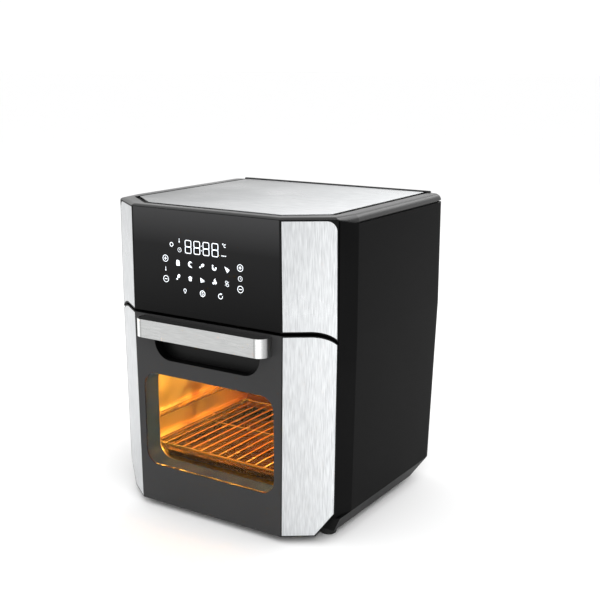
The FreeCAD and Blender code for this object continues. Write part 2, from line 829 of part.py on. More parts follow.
def door_frame():
    """Moulded door: face, corner facets, window tunnel, finger recess and hinge lugs."""
    block_body = tool_body("door_block")
    sections = []
    for level, lean in DOOR_LEVELS:
        half = [facet_point(lean, 0), facet_point(lean, dim.facet_length)]
        half[1] = (half[1][0], -dim.door_rear)
        sections.append((level, half + [(-x, y) for x, y in reversed(half)]))
    start_from_prism(block_body, sections)
    cutout(block_body, "YZ", [swept_above(-dim.split_gap / 2)], -170, 170)
    cutout(block_body, "YZ", [door_cut_corners()], -170, 170)

    wall = dim.door_shell
    hollow_plan = tool_body("door_hollow_plan")
    sections = []
    for level, lean in DOOR_LEVELS:
        end = facet_point(lean, dim.facet_length, wall)
        half = [(dim.face_half - lean - 1, -dim.face_front + wall), end,
                (end[0], -dim.door_rear + 5)]
        sections.append((level, half + [(-size(x), y) for x, y in reversed(half)]))
    start_from_prism(hollow_plan, sections)
    hollow_side = tool_body("door_hollow_side")
    top = dim.waist - dim.split_gap / 2 - wall
    slab(hollow_side, "YZ", [[(-dim.face_front, dim.door_foot + wall),
                              (-dim.cut_foot - 1.4, dim.door_foot + wall),
                              (-dim.door_rear, dim.cut_top + 5.5),
                              (-dim.door_rear + 6, dim.cut_top + 5.5),
                              (-dim.door_rear + 6, top - dim.sweep_drop),
                              (-dim.door_rear, top - dim.sweep_drop),
                              (-dim.door_rear - 12, top),
                              (-dim.face_front, top)]], -170, 170)
    shell = cut(block_body, common(hollow_plan, hollow_side))

    backing = tool_body("door_backing")
    slab(backing, "XZ", [window_corners(2.5)], -dim.face_front + 1, -dim.tunnel_rear)
    slab(backing, "XZ", [recess_corners(2.5)], -dim.face_front + 1,
         -dim.face_front + dim.recess_depth + 2.5)
    lugs = []
    notches = []
    bores = []
    for side in (LEFT, RIGHT):
        inner = dim.hinge_middle - dim.hinge_notch / 2
        outer = dim.hinge_middle + dim.hinge_notch / 2
        lug_low, lug_high = span_on(side, inner - dim.hinge_lug, outer + dim.hinge_lug)
        notch_low, notch_high = span_on(side, inner, outer)
        lugs.append(block((lug_low, -dim.face_front + 1, dim.door_foot + 1),
                          (lug_high, -dim.cut_foot - 1, dim.hinge_height + 8)))
        notches.append(block((notch_low, -dim.face_front + wall + 1, dim.door_foot - 5),
                             (notch_high, -dim.door_rear + 5, dim.hinge_height + 12)))
        bores.append(rod((lug_low + 1, -dim.hinge_depth, dim.hinge_height),
                         dim.pin_r + 0.02, dim.hinge_notch + 2 * dim.hinge_lug - 2, "+X"))
    openings = tool_body("door_openings")
    slab(openings, "XZ", [window_corners()], -170, -90)
    slab(openings, "XZ", [recess_corners()], -170, -dim.face_front + dim.recess_depth)
    seats = []
    for side, word in ((LEFT, "left"), (RIGHT, "right")):
        seat = facet_seat(f"door_seat_{word}", side, DOOR_LEVELS)
        door_skin_edges(seat, 0.1)
        seats.append(seat)
    screw_holes = [rod((dim.handle_screw_x * side, -dim.face_front - 1, dim.handle_screw_z),
                       1.6, 5, "+Y") for side in (LEFT, RIGHT)]
    solid = fuse(shell, backing, *lugs)
    keep(cut(solid, openings, *notches, *bores, *seats, *screw_holes), "door_frame")


def door_skin_edges(body, grow=0):
    """Trim a door skin to the split line above and to the door's cut below."""
    cutout(body, "YZ", [swept_above(-dim.split_gap / 2 - dim.rim + grow)], -170, 170)
    cutout(body, "YZ", [door_cut_corners(dim.rim - grow)], -170, 170)
    cutout(body, "XY", [rectangle((-170, -150), (170, -90))], dim.door_foot - 5,
           dim.door_foot + dim.rim - grow)


door_frame()


def door_trim(label, side):
    body = new_body(label)
    facet_plate(body, side, DOOR_LEVELS, dim.rim)
    door_skin_edges(body)


door_trim("door_trim_left", LEFT)
door_trim("door_trim_right", RIGHT)


def door_glass():
    outer = new_body("window_glass_outer")
    slab(outer, "XZ", [window_corners(-0.3)], -dim.face_front + 0.4,
         -dim.face_front + 0.4 + dim.glass)
    inner = new_body("window_glass_inner")
    slab(inner, "XZ", [rounded((-98, 51.5), (98, 177.5), 8)], -dim.tunnel_rear + 0.1,
         -dim.tunnel_rear + 0.1 + dim.glass)


door_glass()


def door_lining():
    """Steel inner sheet of the door, the seal round it and the screws that hold it."""
    panel = new_body("door_inner_panel")
    low = -dim.tunnel_rear + dim.glass + 0.2
    high = low + 1.2
    slab(panel, "XZ", [rounded((-134, 40), (134, 228), 8)], low, high)
    cutout(panel, "XZ", [window_corners(2)], low - 1, high + 1)
    holes = [(x, z, 1.75) for x in (-116, 116) for z in (56, 134, 214)]
    cutout(panel, "XZ", holes, low - 1, high + 1)
    seal = new_body("door_seal")
    inside = rounded((-dim.cavity_half - 1.5, dim.cavity_floor - 1),
                     (dim.cavity_half + 1.5, 222), 8)
    outside = rounded((-dim.cavity_half - 7.5, dim.cavity_floor - 6),
                      (dim.cavity_half + 7.5, 227.5), 12)
    slab(seal, "XZ", [outside, inside], high + 0.02, -dim.cavity_front - 1.4)
    screws = []
    for x, z, _ in holes:
        screws.append(fuse(rod((x, high, z), 3.2, 1.8, "+Y"),
                           rod((x, high, z), 1.6, 6, "-Y")))
    keep(fuse(*screws), "door_screws")


door_lining()


def handle():
    """Black handle core with a brushed steel strip wrapped round its front and ends."""
    def plan(inset):
        half, r = dim.handle_half - inset, dim.handle_r - inset
        front = -dim.handle_front + inset
        return [(-half, -dim.face_front), (-half, front + r, r), (-half + r, front),
                (half - r, front, r), (half, front + r), (half, -dim.face_front)]
    low, high = dim.handle_foot, dim.handle_foot + dim.handle_height
    core = new_body("handle_core")
    slab(core, "XY", [plan(1.2)], low + 0.6, high - 0.6)
    cutout(core, "XY", [rectangle((-dim.grip_half, -dim.handle_front + dim.handle_bar),
                                  (dim.grip_half, -dim.face_front + 5))], low - 1, high - 4)
    screw_x, screw_z = dim.handle_screw_x, dim.handle_screw_z
    cutout(core, "XZ", [(-screw_x, screw_z, 1.6), (screw_x, screw_z, 1.6)],
           -150, -dim.face_front + 1)
    strip = new_body("handle_strip")
    slab(strip, "XY", [plan(0)], low, high)
    inner = plan(1.1)
    inner[0] = (inner[0][0], -dim.face_front + 4)
    inner[-1] = (inner[-1][0], -dim.face_front + 4)
    cutout(strip, "XY", [inner], low - 1, high + 1)
    screws = []
    for side in (LEFT, RIGHT):
        seat = (screw_x * side, -dim.face_front + dim.door_shell + 0.05, screw_z)
        screws.append(fuse(rod(seat, 3, 2, "+Y"), rod(seat, 1.5, 12, "-Y")))
    keep(fuse(*screws), "handle_screws")


handle()


def hinges():
    """Fixed hinge brackets, and the pins that the door carries."""
    for side, word in ((LEFT, "left"), (RIGHT, "right")):
        low, high = span_on(side, dim.hinge_middle - dim.hinge_plate / 2,
                               dim.hinge_middle + dim.hinge_plate / 2)
        body = new_body(f"hinge_bracket_{word}")
        y, z = -dim.hinge_depth, dim.hinge_height
        tab_rear = -size(97.7)
        slab(body, "YZ", [[(y, z - 5.5), (tab_rear, z - 5.5), (tab_rear, z + 5.5),
                           (y, z + 5.5, 5.5), (y - 5.5, z, 5.5)]], low, high)
        tab_low, tab_high = span_on(side, dim.hinge_middle - 14,
                                       dim.hinge_middle + dim.hinge_plate / 2)
        slab(body, "XZ", [rectangle((tab_low, 13), (tab_high, 31))], tab_rear - 2, tab_rear)
        cutout(body, "YZ", [(y, z, dim.pin_r + dim.pin_clearance)], low - 1, high + 1)
    pins = []
    span = dim.hinge_notch + 2 * dim.hinge_lug - 2.4
    for side in (LEFT, RIGHT):
        pins.append(rod((dim.hinge_middle * side - span / 2, -dim.hinge_depth,
                         dim.hinge_height), dim.pin_r, span, "+X"))
    keep(fuse(*pins), "hinge_pins")


hinges()

# ---------------------------------------------------------------- cavity

def cavity_liner():
    """Folded steel oven cavity with its front flange and the holes in its walls."""
    t = dim.sheet
    body = new_body("cavity_liner")
    half, low, high = dim.cavity_half, dim.cavity_floor, dim.cavity_top
    slab(body, "XZ", [rectangle((-half - t, low - t), (half + t, high + t))],
         -dim.cavity_front - t, dim.cavity_rear + t)
    slab(body, "XZ", [rectangle((-dim.flange_half, dim.flange_foot),
                                (dim.flange_half, dim.flange_top))],
         -dim.cavity_front - t, -dim.cavity_front)
    cutout(body, "XZ", [rectangle((-half, low), (half, high))], -120, dim.cavity_rear)
    cutout(body, "XY", [(0, dim.fan_y, dim.hood_r - 4)], high - 2, high + 2)
    cutout(body, "YZ", [(dim.spit_y, dim.spit_z, 9)], -half - 2, -half + 2)
    cutout(body, "YZ", [(dim.lamp_y, dim.lamp_z, dim.lamp_hole)], half - 2, half + 2)
    cutout(body, "XZ", [(-60, 200, 2.3)], dim.cavity_rear - 2, dim.cavity_rear + 2)
    cutout(body, "XZ", [(dim.switch_x, dim.switch_z, 1.9)], -120, -dim.cavity_front + 2)


cavity_liner()


def rack_guides():
    """Three channels on each cavity wall; a rack's side wire slides in one of them."""
    wall = dim.cavity_half - 0.1
    for side, word in ((LEFT, "left"), (RIGHT, "right")):
        channels = []
        for level in (dim.rack_z, size(98), size(164)):
            low, high = level - 2.9, level + 4
            web = span_on(side, wall - 1, wall)
            lips = span_on(side, wall - 8, wall - 1)
            front, rear = -dim.rack_front, dim.rack_rear
            channels.append(fuse(
                block((web[0], front, low), (web[1], rear, high)),
                block((lips[0], front, low), (lips[1], rear, low + 1)),
                block((lips[0], front, high - 1), (lips[1], rear, high))))
        keep(fuse(*channels), f"rack_guide_{word}")


rack_guides()


def wire_rack():
    """Wire shelf: a rim with cross wires."""
    edge, r = dim.rack_half - 0.5, dim.wire_r
    front, rear, level = -dim.rack_front + 1.5, dim.rack_rear - 2, dim.rack_z
    wires = [rod((-edge, front, level), 1.6, edge * 2, "+X"),
             rod((-edge, rear, level), 1.6, edge * 2, "+X"),
             rod((-edge, 5, level), r, edge * 2, "+X")]
    for side in (LEFT, RIGHT):
        wires.append(rod((edge * side, front, level), 1.6, rear - front, "+Y"))
        for end in (front, rear):
            wires.append(primitive("Sphere", (edge * side, end, level), Radius=1.6))
    count = 16
    for index in range(count):
        x = edge * ((index + 1) * 2 / (count + 1) - 1)
        wires.append(rod((x, front, level + 0.6), 1, rear - front, "+Y"))
    keep(fuse(*wires), "wire_rack")


wire_rack()


def drip_tray():
    """Shallow pressed tray with a turned-out lip."""
    body = new_body("drip_tray")
    half, front, rear = dim.tray_half, -dim.rack_front + 1, dim.rack_rear - 2
    low, high, t = dim.tray_foot, dim.tray_top, dim.sheet
    slab(body, "XY", [rounded((-half + 4, front + 4), (half - 4, rear - 4), 8)], low, high)
    slab(body, "XY", [rounded((-half, front), (half, rear), 12)], high - t, high)
    cutout(body, "XY", [rounded((-half + 4 + t, front + 4 + t),
                                (half - 4 - t, rear - 4 - t), 7.2)], low + t, high + 1)


drip_tray()

# ---------------------------------------------------------------- fan and heater


def heater():
    """Tubular element: one tube run round twice, with both terminals going up."""
    body = tool_body("heater_tube")
    spine = plane_sketch(body, "XY", dim.heater_z)
    outer, inner = dim.heater_outer, dim.heater_inner
    start_angle = math.radians(338)
    turn_r = (outer - inner) / 2
    middle_r = (outer + inner) / 2
    up = FreeCAD.Vector(0, 0, 1)
    origin = FreeCAD.Vector(0, 0, 0)
    big = spine.addGeometry(Part.ArcOfCircle(Part.Circle(origin, up, outer.value),
                                             0, start_angle))
    centre = FreeCAD.Vector(middle_r.value * math.cos(start_angle),
                            middle_r.value * math.sin(start_angle), 0)
    bend = spine.addGeometry(Part.ArcOfCircle(Part.Circle(centre, up, turn_r.value),
                                              start_angle, start_angle + math.pi))
    small = spine.addGeometry(Part.ArcOfCircle(Part.Circle(origin, up, inner.value),
                                               0, start_angle))
    for edge, radius in ((big, outer), (small, inner)):
        spine.addConstraint(Sketcher.Constraint("Coincident", edge, 3, -1, 1))
        bind(spine, "Radius", edge, to=radius)
        spine.addConstraint(Sketcher.Constraint("PointOnObject", edge, 1, -1))
    spine.addConstraint(Sketcher.Constraint("Tangent", big, 2, bend, 1))
    spine.addConstraint(Sketcher.Constraint("Tangent", bend, 2, small, 2))
    profile = plane_sketch(body, "XZ", 0)
    circle(profile, outer, dim.heater_z, dim.heater_r)
    pipe = body.newObject("PartDesign::AdditivePipe", "Pipe")
    pipe.Profile = profile
    pipe.Spine = (spine, [])
    body.Placement.Base.y = dim.fan_y.value
    body.setExpression("Placement.Base.y", dim.fan_y.text)
    pieces = [body]
    for radius in (outer, inner):
        pieces.append(primitive("Sphere", (radius, dim.fan_y, dim.heater_z),
                                Radius=dim.heater_r))
        pieces.append(rod((radius, dim.fan_y, dim.heater_z), dim.heater_r, 28, "+Z"))
    keep(fuse(*pieces), "heating_element")


heater()


def fan_hood():
    """Drum over the cavity's ceiling that holds the heater and the hot air fan."""
    low, top, r = dim.cavity_top + dim.sheet + 0.05, dim.hood_top, dim.hood_r
    drum = fuse(rod((0, dim.fan_y, low), r, top - low, "+Z"),
                rod((0, dim.fan_y, low), r + 6, 1, "+Z"))
    holes = [rod((0, dim.fan_y, low - 1), r - 1, top - low, "+Z"),
             rod((0, dim.fan_y, top - 5), 9, 10, "+Z")]
    holes += [rod((x, dim.fan_y, top - 5), dim.heater_r + 0.3, 10, "+Z")
              for x in (dim.heater_outer, dim.heater_inner)]
    keep(cut(drum, *holes), "fan_hood")


fan_hood()


def fan_guard():
    """Wire guard under the fan."""
    level = dim.cavity_top - 4
    pieces = [ring((0, dim.fan_y, level), r, 1.1) for r in (22, 40, 58, 76, 92)]
    span = dim.hood_r
    pieces.append(rod((-span, dim.fan_y, level), 1.1, span * 2, "+X"))
    pieces.append(rod((0, dim.fan_y - span, level), 1.1, span * 2, "+Y"))
    for x, y in ((-1, 0), (1, 0), (0, -1), (0, 1)):
        pieces.append(rod((span * x, dim.fan_y + span * y, level), 1.6, 3.95, "+Z"))
    keep(fuse(*pieces), "fan_guard")


fan_guard()


def bladed(label, count, hub, disc, blade):
    """A fan wheel: hub (r, low, high), disc (r, low, high), blade (r, r, low, high, t)."""
    body = new_body(label)
    slab(body, "XY", [(0, 0, hub[0])], hub[1], hub[2])
    slab(body, "XY", [(0, 0, disc[0])], disc[1], disc[2])
    thick = blade[4]
    vane = slab(body, "XY", [[(blade[0], -thick), (blade[1], 6), (blade[1], 6 + thick),
                              (blade[0], 0)]], blade[2], blade[3])
    around(body, vane, count)
    cutout(body, "XY", [(0, 0, dim.shaft_r + 0.02)], hub[1] - 5, hub[2] + 5)
    body.Placement.Base.y = dim.fan_y.value
    body.setExpression("Placement.Base.y", dim.fan_y.text)


bladed("fan_impeller", 9, (9, 240, 250), (50, 247, 248), (8, 49, 238.5, 247.2, 1))
bladed("cooling_fan", 7, (11, 306, 318), (44, 306, 307.4), (10, 43, 307, 319, 1.4))


def fan_drive():
    """Motor on its bracket over the heat shield, with the shaft and the impeller's nut."""
    y = dim.fan_y
    keep(rod((0, y, 234), dim.shaft_r, 92, "+Z"), "motor_shaft")
    nut = primitive("Prism", (0, y, 234.9), Circumradius=7.2, Height=5)
    keep(cut(nut, rod((0, y, 230), dim.shaft_r + 0.02, 20, "+Z")), "fan_nut")
    can = fuse(rod((0, y, 268), 30, 30, "+Z"), rod((0, y, 262), 11, 42, "+Z"))
    keep(cut(can, rod((0, y, 250), dim.shaft_r + 0.05, 70, "+Z")), "fan_motor")
    bracket = new_body("motor_bracket")
    low, high, t = 257, 267.9, 1.5
    half = [(46, high - t), (46, low), (60, low), (60, low + t), (46 + t, low + t),
            (46 + t, high)]
    slab(bracket, "XZ", [mirrored(half)], y - 18, y + 18)
    cutout(bracket, "XY", [(0, y, 11.3)], high - 5, high + 5)
    shield = new_body("heat_shield")
    slab(shield, "XY", [rectangle((-142, -94), (142, 128))], 256, 256.8)
    cutout(shield, "XY", [(0, y, 12)] + [(x, y, 5) for x in (dim.heater_outer,
                                                             dim.heater_inner)], 250, 260)


fan_drive()

# ---------------------------------------------------------------- lamp and spit


def lamp():
    """Cavity lamp behind a glass lens in the right-hand wall."""
    y, z, wall = dim.lamp_y, dim.lamp_z, dim.cavity_half
    lens = fuse(rod((wall - 2.1, y, z), 19, 2, "+X"),
                rod((wall - 1, y, z), dim.lamp_hole - 0.3, 3.5, "+X"))
    keep(lens, "lamp_lens")
    cup = rod((wall + 0.9, y, z), 21, 19, "+X")
    keep(cut(cup, rod((wall - 5, y, z), 19.5, 22.5, "+X")), "lamp_holder")
    keep(fuse(primitive("Sphere", (wall + 10, y, z), TOWARDS["+X"], Radius=6.5),
              rod((wall + 11, y, z), 4.5, 6.4, "+X")), "lamp_bulb")


lamp()


def spit_drive():
    """Geared spit motor outside the left wall, and the coupler that takes the spit."""
    y, z, wall = dim.spit_y, dim.spit_z, -dim.cavity_half - dim.sheet
    motor = fuse(rod((-150.5, y, z), 24, 19, "+X"), rod((-132, y, z), 8, 7, "+X"))
    keep(cut(motor, rod((-145, y, z), 3.05, 40, "+X")), "spit_motor")
    bracket = new_body("spit_motor_bracket")
    slab(bracket, "YZ", [rounded((y - 36, z - 16), (y + 36, z + 16), 6)], -131.4, -130.2)
    posts = [(y + dy, z + dz, 3.5) for dy in (-29, 29) for dz in (-9, 9)]
    slab(bracket, "YZ", posts, -130.3, wall - 0.05)
    cutout(bracket, "YZ", [(y, z, 8.2)], -140, -126)
    socket = new_body("drive_coupler")
    slab(socket, "YZ", [(y, z, 9)], -121, -106)
    slab(socket, "YZ", [(y, z, 3)], -144, -120)
    side = dim.spit_side / 2 + 0.15
    cutout(socket, "YZ", [rectangle((y - side, z - side), (y + side, z + side))], -118, -100)


spit_drive()


def spit():
    """Square spit with a round journal, two four-tined forks and their thumb screws."""
    y, z, side = dim.spit_y, dim.spit_z, dim.spit_side / 2
    bar = block((-dim.spit_half, y - side, z - side), (103, y + side, z + side))
    journal = rod((100, y, z), 3.9, 15, "+X")
    tip = cone((115, y, z), 3.9, 1.5, 3, "+X")
    keep(fuse(bar, journal, tip), "spit_shaft")
    screws = []
    for side_sign, word in ((LEFT, "left"), (RIGHT, "right")):
        start, inwards = 82 * side_sign, "-X" if side_sign == RIGHT else "+X"
        pieces = [rod((start, y, z), 10, 12, inwards)]
        face = start - 12 * side_sign
        low, high = sorted((face, face + 2.5 * side_sign))
        reach = dim.tine_reach + 2
        pieces.append(block((low, y - reach, z - 3), (high, y + reach, z + 3)))
        pieces.append(block((low, y - 3, z - reach), (high, y + 3, z + reach)))
        for dy, dz in ((1, 0), (-1, 0), (0, 1), (0, -1)):
            spot = (y + dim.tine_reach * dy, z + dim.tine_reach * dz)
            pieces.append(rod((face, *spot), 1.6, dim.tine_length - 8, inwards))
            tine_end = face - (dim.tine_length.value - 8) * side_sign
            pieces.append(cone((tine_end, *spot), 1.6, 0.3, 8, inwards))
        bore = dim.spit_side / 2 + 0.1
        square = block((start - 20, y - bore, z - bore), (start + 20, y + bore, z + bore))
        hole = rod((start - 5 * side_sign, y, z + 2), 2.3, 12, "+Z")
        keep(cut(fuse(*pieces), square, hole), f"spit_fork_{word}")
        x = start - 5 * side_sign
        screws.append(fuse(rod((x, y, z + 4.1), 2.2, 9, "+Z"),
                           block((x - 1.4, y - 6, z + 12), (x + 1.4, y + 6, z + 19))))
    keep(fuse(*screws), "fork_screws")
    support = new_body("spit_support")
    slab(support, "YZ", [rectangle((y - 12, z - 16), (y + 12, z + 9))], 108, 110)
    slab(support, "YZ", [rectangle((y - 12, z - 16), (y + 12, z - 14.5))], 109.5, 120.8)
    slab(support, "YZ", [rectangle((y - 12, z - 16), (y + 12, z + 9))], 120.5, 121.8)
    fit = size(3.95)
    cutout(support, "YZ", [(y, z, fit)], 100, 115)
    cutout(support, "YZ", [rectangle((y - fit, z), (y + fit, z + 20))], 100, 115)


spit()

# ---------------------------------------------------------------- electrics


def boards():
    """Display board behind the control panel, and the power board at the rear left."""
    display = new_body("display_board")
    rear = -dim.face_front + 5.8
    slab(display, "XZ", [rectangle((-74, 264), (74, 352))], rear, rear + 1.6)
    slab(display, "XZ", [rectangle((-40, 322), (46, 350))], rear - 3, rear)
    keys = [(x, z, 4) for x in (-66, 66) for z in (276, 296, 316)]
    keys += [(x, 270, 4) for x in (-24, 0, 24)]
    slab(display, "XZ", keys, rear - 3, rear)
    power = new_body("power_board")
    slab(power, "XY", [rectangle((-140, 58), (-64, 128))], 264, 265.6)
    legs = [(x, y, 2.5) for x in (-134, -70) for y in (64, 122)]
    slab(power, "XY", legs, 256.9, 264.2)
    slab(power, "XY", [rectangle((-132, 84), (-104, 108))], 265.5, 288)
    slab(power, "XY", [rectangle((-98, 96), (-84, 112)), rectangle((-80, 96), (-69, 112))],
         265.5, 281)
    slab(power, "XY", [(-92, 76, 6), (-76, 78, 5)], 265.5, 284)
    slab(power, "XY", [rectangle((-134, 64), (-108, 74))], 265.5, 277)


boards()


def sensors():
    """Door switch and its plunger, thermal cut-out and cavity temperature probe."""
    switch = new_body("door_switch")
    x, z = dim.switch_x, dim.switch_z
    slab(switch, "XZ", [rectangle((x - 6, z - 10), (x + 6, z + 10))], -99.4, -83)
    cutout(switch, "XZ", [(x, z, 1.55)], -110, -90)
    keep(rod((x, -108.2, z), 1.5, 16, "+Y"), "switch_plunger")
    top = dim.cavity_top + dim.sheet + 0.05
    keep(fuse(rod((108, -78, top), 9, 6, "+Z"), rod((108, -78, top), 5, 11, "+Z")),
         "thermal_cutout")
    rear = dim.cavity_rear
    keep(fuse(rod((-60, rear - 14, 200), 2, 34, "+Y"),
              rod((-60, rear + 0.9, 200), 5, 4, "+Y")), "temperature_probe")


sensors()

# ---------------------------------------------------------------- feet, spacers, fasteners


def rear_surface(level):
    """Y of the rear cover's outer face below the kink, at a height."""
    drop = (dim.side_kink - level) / (dim.side_kink - dim.side_foot)
    return dim.rear_depth - dim.rear_lean_foot * drop


def feet_and_spacers():
    feet = [fuse(cone((x, y, 0), 9.2, 10, 3, "+Z"),
                 rod((x, y, 3), 10, dim.pan_foot - 3.1, "+Z"))
            for x, y in ((-130, -80), (130, -80), (-121, 88), (121, 88))]
    keep(fuse(*feet), "rubber_feet")
    seat = rear_surface(size(205)) + 0.4
    spacers = []
    for x in (-100, 100):
        post = cone((x, seat, 205), 10, 8, dim.overall_rear - seat, "+Y")
        spacers.append(fuse(post, rod((x, seat - 8, 205), 3, 9, "+Y")))
    keep(fuse(*spacers), "wall_spacers")
    gland_y = rear_surface(size(62))
    gland = fuse(rod((-96, gland_y - 9, 62), 7, 12, "+Y"),
                 rod((-96, gland_y + 0.6, 62), 10, 3, "+Y"))
    keep(cut(gland, rod((-96, gland_y - 20, 62), 3.6, 50, "+Y")), "cord_gland")
    screws = []
    for x in (-132, 132):
        for level in (50, 200, 350):
            seat = rear_surface(size(level)) if level < 236 else \
                dim.rear_depth - dim.rear_lean_top * 0.9
            screws.append(fuse(rod((x, seat + 0.2, level), 3.2, 1.8, "+Y"),
                               rod((x, seat + 0.2, level), 1.6, 8, "-Y")))
    keep(fuse(*screws), "rear_screws")


feet_and_spacers()

# ---------------------------------------------------------------- checks and export

doc.recompute()
for item in doc.Objects:
    if "Invalid" in item.State or "Error" in item.State:
        raise RuntimeError(f"{item.Name} ({item.Label}) failed: {item.State}")
os.makedirs("parts", exist_ok=True)
for item in kept:
    if item.Shape.isNull() or not item.Shape.isValid():
        raise RuntimeError(f"{item.Label} has no valid shape")
    box = item.Shape.BoundBox
    print(f"{item.Label:24s} solids {len(item.Shape.Solids):2d} volume {item.Shape.Volume:10.0f}"
          f"  x {box.XMin:7.1f} {box.XMax:7.1f}  y {box.YMin:7.1f} {box.YMax:7.1f}"
          f"  z {box.ZMin:7.1f} {box.ZMax:7.1f}")
    item.Shape.exportStep(f"parts/{item.Label}.step")
print(len(kept), "sub-parts")
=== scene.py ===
"""Looks of the rotisserie oven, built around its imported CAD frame. Lengths are in metres."""

import math

import bmesh
import bpy
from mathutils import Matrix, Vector


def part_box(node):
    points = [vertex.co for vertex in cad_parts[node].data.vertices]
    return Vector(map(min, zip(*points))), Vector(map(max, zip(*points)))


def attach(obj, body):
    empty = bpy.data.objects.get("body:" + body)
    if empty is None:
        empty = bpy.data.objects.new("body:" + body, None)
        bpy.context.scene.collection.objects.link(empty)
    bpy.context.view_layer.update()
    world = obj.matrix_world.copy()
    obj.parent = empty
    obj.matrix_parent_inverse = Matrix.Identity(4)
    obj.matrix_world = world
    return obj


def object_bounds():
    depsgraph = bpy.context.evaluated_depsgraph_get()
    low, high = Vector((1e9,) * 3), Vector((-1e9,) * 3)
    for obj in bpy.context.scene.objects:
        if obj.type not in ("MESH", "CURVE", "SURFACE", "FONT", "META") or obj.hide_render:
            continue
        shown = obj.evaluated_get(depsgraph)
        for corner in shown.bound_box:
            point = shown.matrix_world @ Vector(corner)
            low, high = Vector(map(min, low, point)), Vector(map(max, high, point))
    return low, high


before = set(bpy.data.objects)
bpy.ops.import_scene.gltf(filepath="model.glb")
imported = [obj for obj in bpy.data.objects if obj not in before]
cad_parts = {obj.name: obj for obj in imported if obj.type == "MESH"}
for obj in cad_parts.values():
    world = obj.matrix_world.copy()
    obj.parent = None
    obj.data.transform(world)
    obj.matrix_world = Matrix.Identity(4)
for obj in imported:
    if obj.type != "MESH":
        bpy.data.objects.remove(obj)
cad_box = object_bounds()

MM = 0.001
X, Y, Z = 0, 1, 2


# ---------------------------------------------------------------- material recipes

SOCKETS = {
    "base_color": "Base Color",
    "metallic": "Metallic",
    "roughness": "Roughness",
    "specular": "Specular IOR Level",
    "ior": "IOR",
    "anisotropic": "Anisotropic",
    "coat": "Coat Weight",
    "coat_roughness": "Coat Roughness",
    "transmission": "Transmission Weight",
    "emission_color": "Emission Color",
    "emission_strength": "Emission Strength",
    "normal": "Normal",
}


class Recipe:
    """One material's node tree. Its texture coordinates are the frame's own, in metres."""

    def __init__(self, name, **values):
        self.material = bpy.data.materials.new(name)
        self.material.use_nodes = True
        self.tree = self.material.node_tree
        self.shader = self.tree.nodes["Principled BSDF"]
        self.set(**values)

    def set(self, **values):
        """Sets or wires the shader's sockets; base_color=... is its Base Color."""
        for name, value in values.items():
            self.feed(self.shader.inputs[SOCKETS[name]], value)

    def feed(self, socket, value):
        if isinstance(value, bpy.types.NodeSocket):
            self.tree.links.new(value, socket)
        elif isinstance(value, tuple) and socket.type == "RGBA":
            socket.default_value = (*value, 1)
        else:
            socket.default_value = value

    def node(self, kind, inputs, output=0, **settings):
        """A new node with its inputs set or wired, and the output that is asked for."""
        made = self.tree.nodes.new("ShaderNode" + kind)
        for name, value in settings.items():
            setattr(made, name, value)
        for name, value in inputs.items():
            self.feed(made.inputs[name], value)
        return made.outputs[output]

    def point(self, stretch=(1, 1, 1)):
        """Where a point is, with each axis multiplied: a small factor draws grain along it."""
        place = self.node("TexCoord", {}, "Object")
        return self.node("Mapping", {"Vector": place, "Scale": stretch})

    def noise(self, scale, stretch=(1, 1, 1), detail=3.0):
        inputs = {"Vector": self.point(stretch), "Scale": scale, "Detail": detail}
        return self.node("TexNoise", inputs, "Fac")

    def flecks(self, scale, size):
        """1 inside small round flecks, 0 between them."""
        inputs = {"Vector": self.point(), "Scale": scale}
        distance = self.node("TexVoronoi", inputs, "Distance")
        return self.remap(distance, 1, 0, size, size * 1.5)

    def remap(self, value, low, high, start=0.3, end=0.7):
        inputs = {"Value": value, "From Min": start, "From Max": end, "To Min": low, "To Max": high}
        return self.node("MapRange", inputs)

    def times(self, first, second):
        return self.node("Math", {0: first, 1: second}, operation="MULTIPLY")

    def scaled(self, color, factor):
        return self.node("VectorMath", {0: color, "Scale": factor}, "Vector", operation="SCALE")

    def mix(self, amount, first, second):
        """A colour between two, by an amount from 0 to 1."""
        return self.node("Mix", {0: amount, 6: first, 7: second}, 2, data_type="RGBA")

    def place_on(self, axis, both_ways=False):
        """How far along an axis a point is, or how far either way from the middle."""
        place = self.node("SeparateXYZ", {0: self.point()}, axis)
        return self.node("Math", {0: place}, operation="ABSOLUTE") if both_ways else place

    def height(self, axis, low, high):
        """0 below one height or place along an axis, 1 above another."""
        return self.remap(self.place_on(axis), 0, 1, low, high)

    def bands(self, value, stops):
        """A factor that runs straight from one (value, factor) stop to the next."""
        total = stops[0][1]
        for (start, before), (end, after) in zip(stops, stops[1:]):
            step = self.remap(value, 0, after - before, start, end)
            total = self.node("Math", {0: total, 1: step}, operation="ADD")
        return total

    def worn_edges(self, radius):
        """1 on the object's sharp edges, 0 on its faces."""
        soft = self.node("Bevel", {"Radius": radius}, samples=4)
        flat = self.node("NewGeometry", {}, "Normal")
        turn = self.node("VectorMath", {0: soft, 1: flat}, "Value", operation="DOT_PRODUCT")
        return self.remap(turn, 1, 0, 0.86, 0.99)

    def relief(self, *layers, soften=0.0):
        """Bump layers, each a texture and its depth, over edges softened by a radius."""
        normal = self.node("Bevel", {"Radius": soften}, samples=4) if soften else None
        for texture, depth in layers:
            inputs = {"Height": texture, "Distance": depth}
            if normal is not None:
                inputs["Normal"] = normal
            normal = self.node("Bump", inputs)
        self.set(normal=normal)
        return self.material


def grain_stretch(grain, across_factor, along_factor):
    """Texture scales that draw a grain out along one axis."""
    return tuple(along_factor if axis == grain else across_factor for axis in (X, Y, Z))


